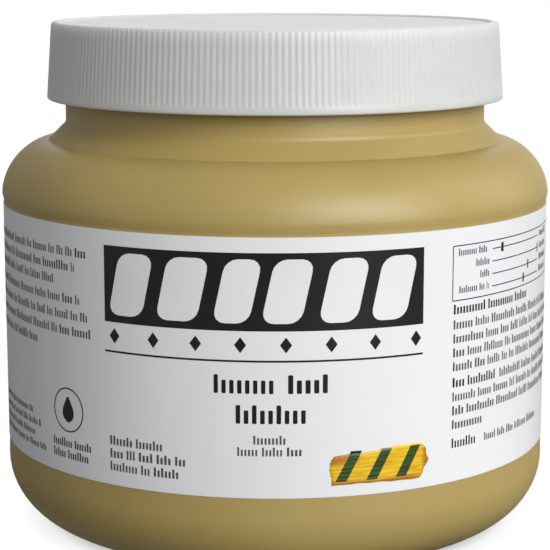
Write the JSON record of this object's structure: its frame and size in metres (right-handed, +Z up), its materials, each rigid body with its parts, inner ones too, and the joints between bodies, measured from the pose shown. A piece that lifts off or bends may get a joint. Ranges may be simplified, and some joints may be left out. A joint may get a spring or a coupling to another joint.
{
  "type": "paint jar",
  "caption": "Wide-mouth plastic paint jar with a rounded shoulder, a wrap-around label, an internal foam liner and a ribbed screw lid that turns and rises off.",
  "frame": {"origin": "centre of the base, on the surface the jar stands on", "axes": "+Z up the jar's axis towards the lid; -Y is the label's front; +X is to the right seen from the front"},
  "size_m": [0.1224, 0.1224, 0.1111],
  "materials": {
    "jar_hdpe": "satin, translucent natural HDPE",
    "paint": "wet, thick acrylic paint",
    "label_film": "satin printed film",
    "dried_paint": "brushed dried acrylic",
    "liner_foam": "closed-cell foam",
    "lid_pp": "satin moulded polypropylene"
  },
  "bodies": {
    "jar": {"jar_body": "jar_hdpe", "paint_fill": "paint", "label": "label_film", "paint_patch": "dried_paint"},
    "liner": {"lid_liner": "liner_foam"},
    "lid": {"lid": "lid_pp"}
  },
  "joints": [
    {"name": "lid_rise", "type": "slide", "parent": "jar", "child": "liner", "axis": [0, 0, 1], "range_m": [0, 0.02032]},
    {"name": "lid_turn", "type": "hinge", "parent": "liner", "child": "lid", "pos_m": [0, 0, 0.0944], "axis": [0, 0, 1], "range_deg": [0, 1440]}
  ],
  "couplings": [
    {"joint": "lid_rise", "follows": "lid_turn", "m_per_rad": 0.0008085}
  ]
}
